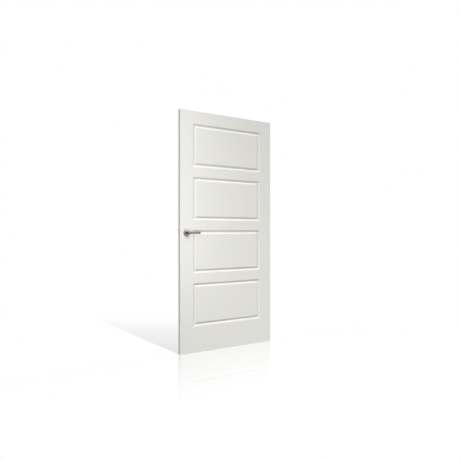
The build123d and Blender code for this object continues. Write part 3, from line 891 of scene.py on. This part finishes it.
class DOOR_OT_hinges(bpy.types.Operator):
    """Finishes the three butt hinges with their pins, bearings and screws"""

    bl_idname = "door.hinges"
    bl_label = "Hinges"

    def execute(self, context):
        finish = context.scene.door_finish
        steel = brushed_material(
            "satin_steel", finish.steel, roughness=0.36, grain=(2600, 2600, 160),
        )
        bright = brushed_material(
            "pin_steel", shown(190, 190, 188), roughness=0.28, grain=(1600, 1600, 300),
        )
        for hinge in HINGES:
            for part, material, slot, body in (
                ("door_plate", steel, "satin_steel", "leaf"),
                ("jamb_plate", steel, "satin_steel", "hinge_fixed_side"),
                ("pin", bright, "bright_steel", "hinge_fixed_side"),
                ("bearings", bright, "bright_steel", "hinge_fixed_side"),
            ):
                name, node = f"{hinge}_butt_{part}", f"{hinge}_hinge_{part}"
                finished(name, refined_shape(node), material, body, [node])
            paint(f"{hinge}_hinge_screws", bright)
        return {"FINISHED"}


# Stage


def floor_material(name):
    """White to the camera apart from the door's shadow and a faint mirror image of its foot,
    white in reflections, and grey to the light that reaches the door."""
    surface = Surface(name, roughness=0.9)
    surface.shader.inputs["Base Color"].default_value = (0.12, 0.12, 0.12, 1)
    nodes, links = surface.nodes, surface.links

    def white(strength):
        node = nodes.new("ShaderNodeEmission")
        node.inputs["Strength"].default_value = strength
        return node.outputs[0]

    def mixed(factor, first, second):
        node = nodes.new("ShaderNodeMixShader")
        links.new(factor, node.inputs["Fac"])
        links.new(first, node.inputs[1])
        links.new(second, node.inputs[2])
        return node.outputs[0]

    matt = nodes.new("ShaderNodeBsdfDiffuse")
    matt.inputs["Color"].default_value = (0.2, 0.2, 0.2, 1)
    shaded = nodes.new("ShaderNodeAddShader")
    links.new(matt.outputs[0], shaded.inputs[0])
    links.new(white(FLOOR_SHADE), shaded.inputs[1])
    away = nodes.new("ShaderNodeVectorMath")
    away.operation = "DOT_PRODUCT"
    away.inputs[1].default_value = FLOOR_HEADING
    links.new(surface.place, away.inputs[0])
    far = surface.span(away.outputs["Value"], 0, 1, *FLOOR_FADE)
    ground = mixed(far, shaded.outputs[0], white(1.0))
    gloss = nodes.new("ShaderNodeBsdfGlossy")
    gloss.inputs["Color"].default_value = (1, 1, 1, 1)
    gloss.inputs["Roughness"].default_value = 0.04
    y = surface.coordinates()["Y"]
    share = surface.span(y, 0, MIRROR_SHARE, *MIRROR_FADE)
    share = surface.math("MULTIPLY", surface.math("LESS_THAN", y, 0), share)
    seen = mixed(share, ground, gloss.outputs[0])
    ray = nodes.new("ShaderNodeLightPath").outputs
    clear = surface.math("MAXIMUM", ray["Is Glossy Ray"], ray["Is Transmission Ray"])
    clear = mixed(clear, surface.shader.outputs[0], white(1.0))
    clear = mixed(ray["Is Camera Ray"], clear, seen)
    links.new(clear, nodes["Material Output"].inputs["Surface"])
    return surface.material


def add_floor():
    """A wide floor under the door."""
    bm = bmesh.new()
    bmesh.ops.create_grid(bm, x_segments=1, y_segments=1, size=FLOOR_HALF)
    mesh = bpy.data.meshes.new("floor")
    bm.to_mesh(mesh)
    bm.free()
    floor = bpy.data.objects.new("floor", mesh)
    bpy.context.scene.collection.objects.link(floor)
    mesh.materials.append(floor_material("studio_floor"))
    return floor


def add_surroundings(scene, strength):
    """Pale light from all round, white to the camera and in reflections."""
    world = bpy.data.worlds.new("surroundings")
    world.use_nodes = True
    nodes, links = world.node_tree.nodes, world.node_tree.links
    light = nodes["Background"]
    light.inputs["Color"].default_value = (1, 1, 1, 1)
    light.inputs["Strength"].default_value = strength
    white = nodes.new("ShaderNodeBackground")
    white.inputs["Color"].default_value = (1, 1, 1, 1)
    white.inputs["Strength"].default_value = 1.0
    ray = nodes.new("ShaderNodeLightPath").outputs
    seen = ray["Is Camera Ray"]
    for kind in ("Is Glossy Ray", "Is Transmission Ray"):
        either = nodes.new("ShaderNodeMath")
        either.operation = "MAXIMUM"
        links.new(seen, either.inputs[0])
        links.new(ray[kind], either.inputs[1])
        seen = either.outputs[0]
    mix = nodes.new("ShaderNodeMixShader")
    links.new(seen, mix.inputs["Fac"])
    links.new(light.outputs[0], mix.inputs[1])
    links.new(white.outputs[0], mix.inputs[2])
    links.new(mix.outputs[0], nodes["World Output"].inputs["Surface"])
    scene.world = world


def light_group(name, item, state):
    """A group for light linking that includes or excludes one object."""
    collection = bpy.data.collections.new(name)
    collection.objects.link(item)
    collection.collection_objects[0].light_linking.link_state = state
    return collection


def add_lamp(name, kind, power, place, target, size, lit):
    """A soft lamp that faces a point: a rectangle with two sides, or a sun with an angle."""
    data = bpy.data.lights.new(name, kind)
    data.energy = power
    if kind == "AREA":
        data.shape = "RECTANGLE"
        data.size, data.size_y = size
    else:
        data.angle = size
    lamp = bpy.data.objects.new(name, data)
    lamp.location = place
    lamp.rotation_euler = (Vector(target) - Vector(place)).to_track_quat("-Z", "Y").to_euler()
    lamp.light_linking.receiver_collection = lit
    bpy.context.scene.collection.objects.link(lamp)
    return lamp


def add_camera(scene, stage):
    data = bpy.data.cameras.new("camera")
    data.lens = stage.lens
    data.sensor_width = 36
    data.shift_y = stage.rise
    camera = bpy.data.objects.new("camera", data)
    camera.location = stage.eye
    camera.rotation_euler = (radians(90), 0, -stage.turn)
    scene.collection.objects.link(camera)
    scene.camera = camera


class DOOR_OT_stage(bpy.types.Operator):
    """Sets up the floor, the lamps, the surroundings and the camera"""

    bl_idname = "door.stage"
    bl_label = "Stage"

    def execute(self, context):
        scene, stage = context.scene, context.scene.door_stage
        floor = add_floor()
        add_surroundings(scene, stage.sky)
        rose, lever = bpy.data.objects["front_rose"], bpy.data.objects["front_lever_bar"]
        spared = light_group("spared_by_lamps", floor, "EXCLUDE")
        add_lamp(
            "low_lamp", "AREA", stage.low_power, place=(0.5, -3.2, 0.35), target=(0, 0, 0.6),
            size=(1.6, 0.6), lit=spared,
        )
        add_lamp(
            "edge_lamp", "AREA", stage.edge_power, place=(-0.55, -0.6, 1.6),
            target=(-0.42, 0, 1.6), size=(0.2, 1.9), lit=spared,
        )
        add_lamp(
            "rear_lamp", "AREA", stage.rear_power, place=(5.4, 7.1, 4.0), target=(0, 0, 1.0),
            size=(5.0, 5.0), lit=spared,
        )
        high = add_lamp(
            "high_light", "SUN", stage.high_light, place=(-2.07, -4.3, 8.8), target=(0, 0, 0),
            size=stage.high_spread, lit=spared,
        )
        passed = light_group("passed_by_high_light", lever, "EXCLUDE")
        high.light_linking.blocker_collection = passed
        add_lamp(
            "rose_card", "AREA", stage.card_power, place=(-0.331, -0.215, 1.1),
            target=(-0.405, -0.029, 1.07), size=(0.16, 0.08),
            lit=light_group("lit_by_rose_card", rose, "INCLUDE"),
        )
        add_lamp(
            "lever_card", "AREA", stage.lever_card_power, place=(-0.25, -0.072, 1.28),
            target=(-0.345, -0.0675, 1.05), size=(0.3, 0.07),
            lit=light_group("lit_by_lever_card", lever, "INCLUDE"),
        )
        add_lamp(
            "floor_light", "SUN", stage.floor_sun, place=(0.9, -3.93, 4.45), target=(0, 0, 0),
            size=radians(0.6), lit=light_group("lit_by_floor_light", floor, "INCLUDE"),
        )
        add_camera(scene, stage)
        scene.view_settings.view_transform = "Standard"
        return {"FINISHED"}


class DOOR_PT_panel(bpy.types.Panel):
    """Lists the steps that build the door."""

    bl_label = "Interior door"
    bl_idname = "DOOR_PT_panel"
    bl_space_type = "VIEW_3D"
    bl_region_type = "UI"
    bl_category = "Door"

    def draw(self, context):
        for operator in OPERATORS:
            self.layout.operator(operator.bl_idname)


OPERATORS = (
    DOOR_OT_leaf, DOOR_OT_filling, DOOR_OT_handles, DOOR_OT_latch, DOOR_OT_hinges, DOOR_OT_stage,
)
SETTINGS = {
    "door_panels": DoorPanels, "door_handle": DoorHandle, "door_latch": DoorLatch,
    "door_finish": DoorFinish, "door_stage": DoorStage,
}
CLASSES = (*SETTINGS.values(), *OPERATORS, DOOR_PT_panel)


def register():
    for item in CLASSES:
        bpy.utils.register_class(item)
    for name, group in SETTINGS.items():
        setattr(bpy.types.Scene, name, bpy.props.PointerProperty(type=group))


def unregister():
    for name in SETTINGS:
        delattr(bpy.types.Scene, name)
    for item in reversed(CLASSES):
        bpy.utils.unregister_class(item)


def main():
    register()
    bpy.ops.door.leaf()
    bpy.ops.door.filling()
    bpy.ops.door.handles()
    bpy.ops.door.latch()
    bpy.ops.door.hinges()
    bpy.ops.door.stage()


if __name__ == "__main__":
    main()
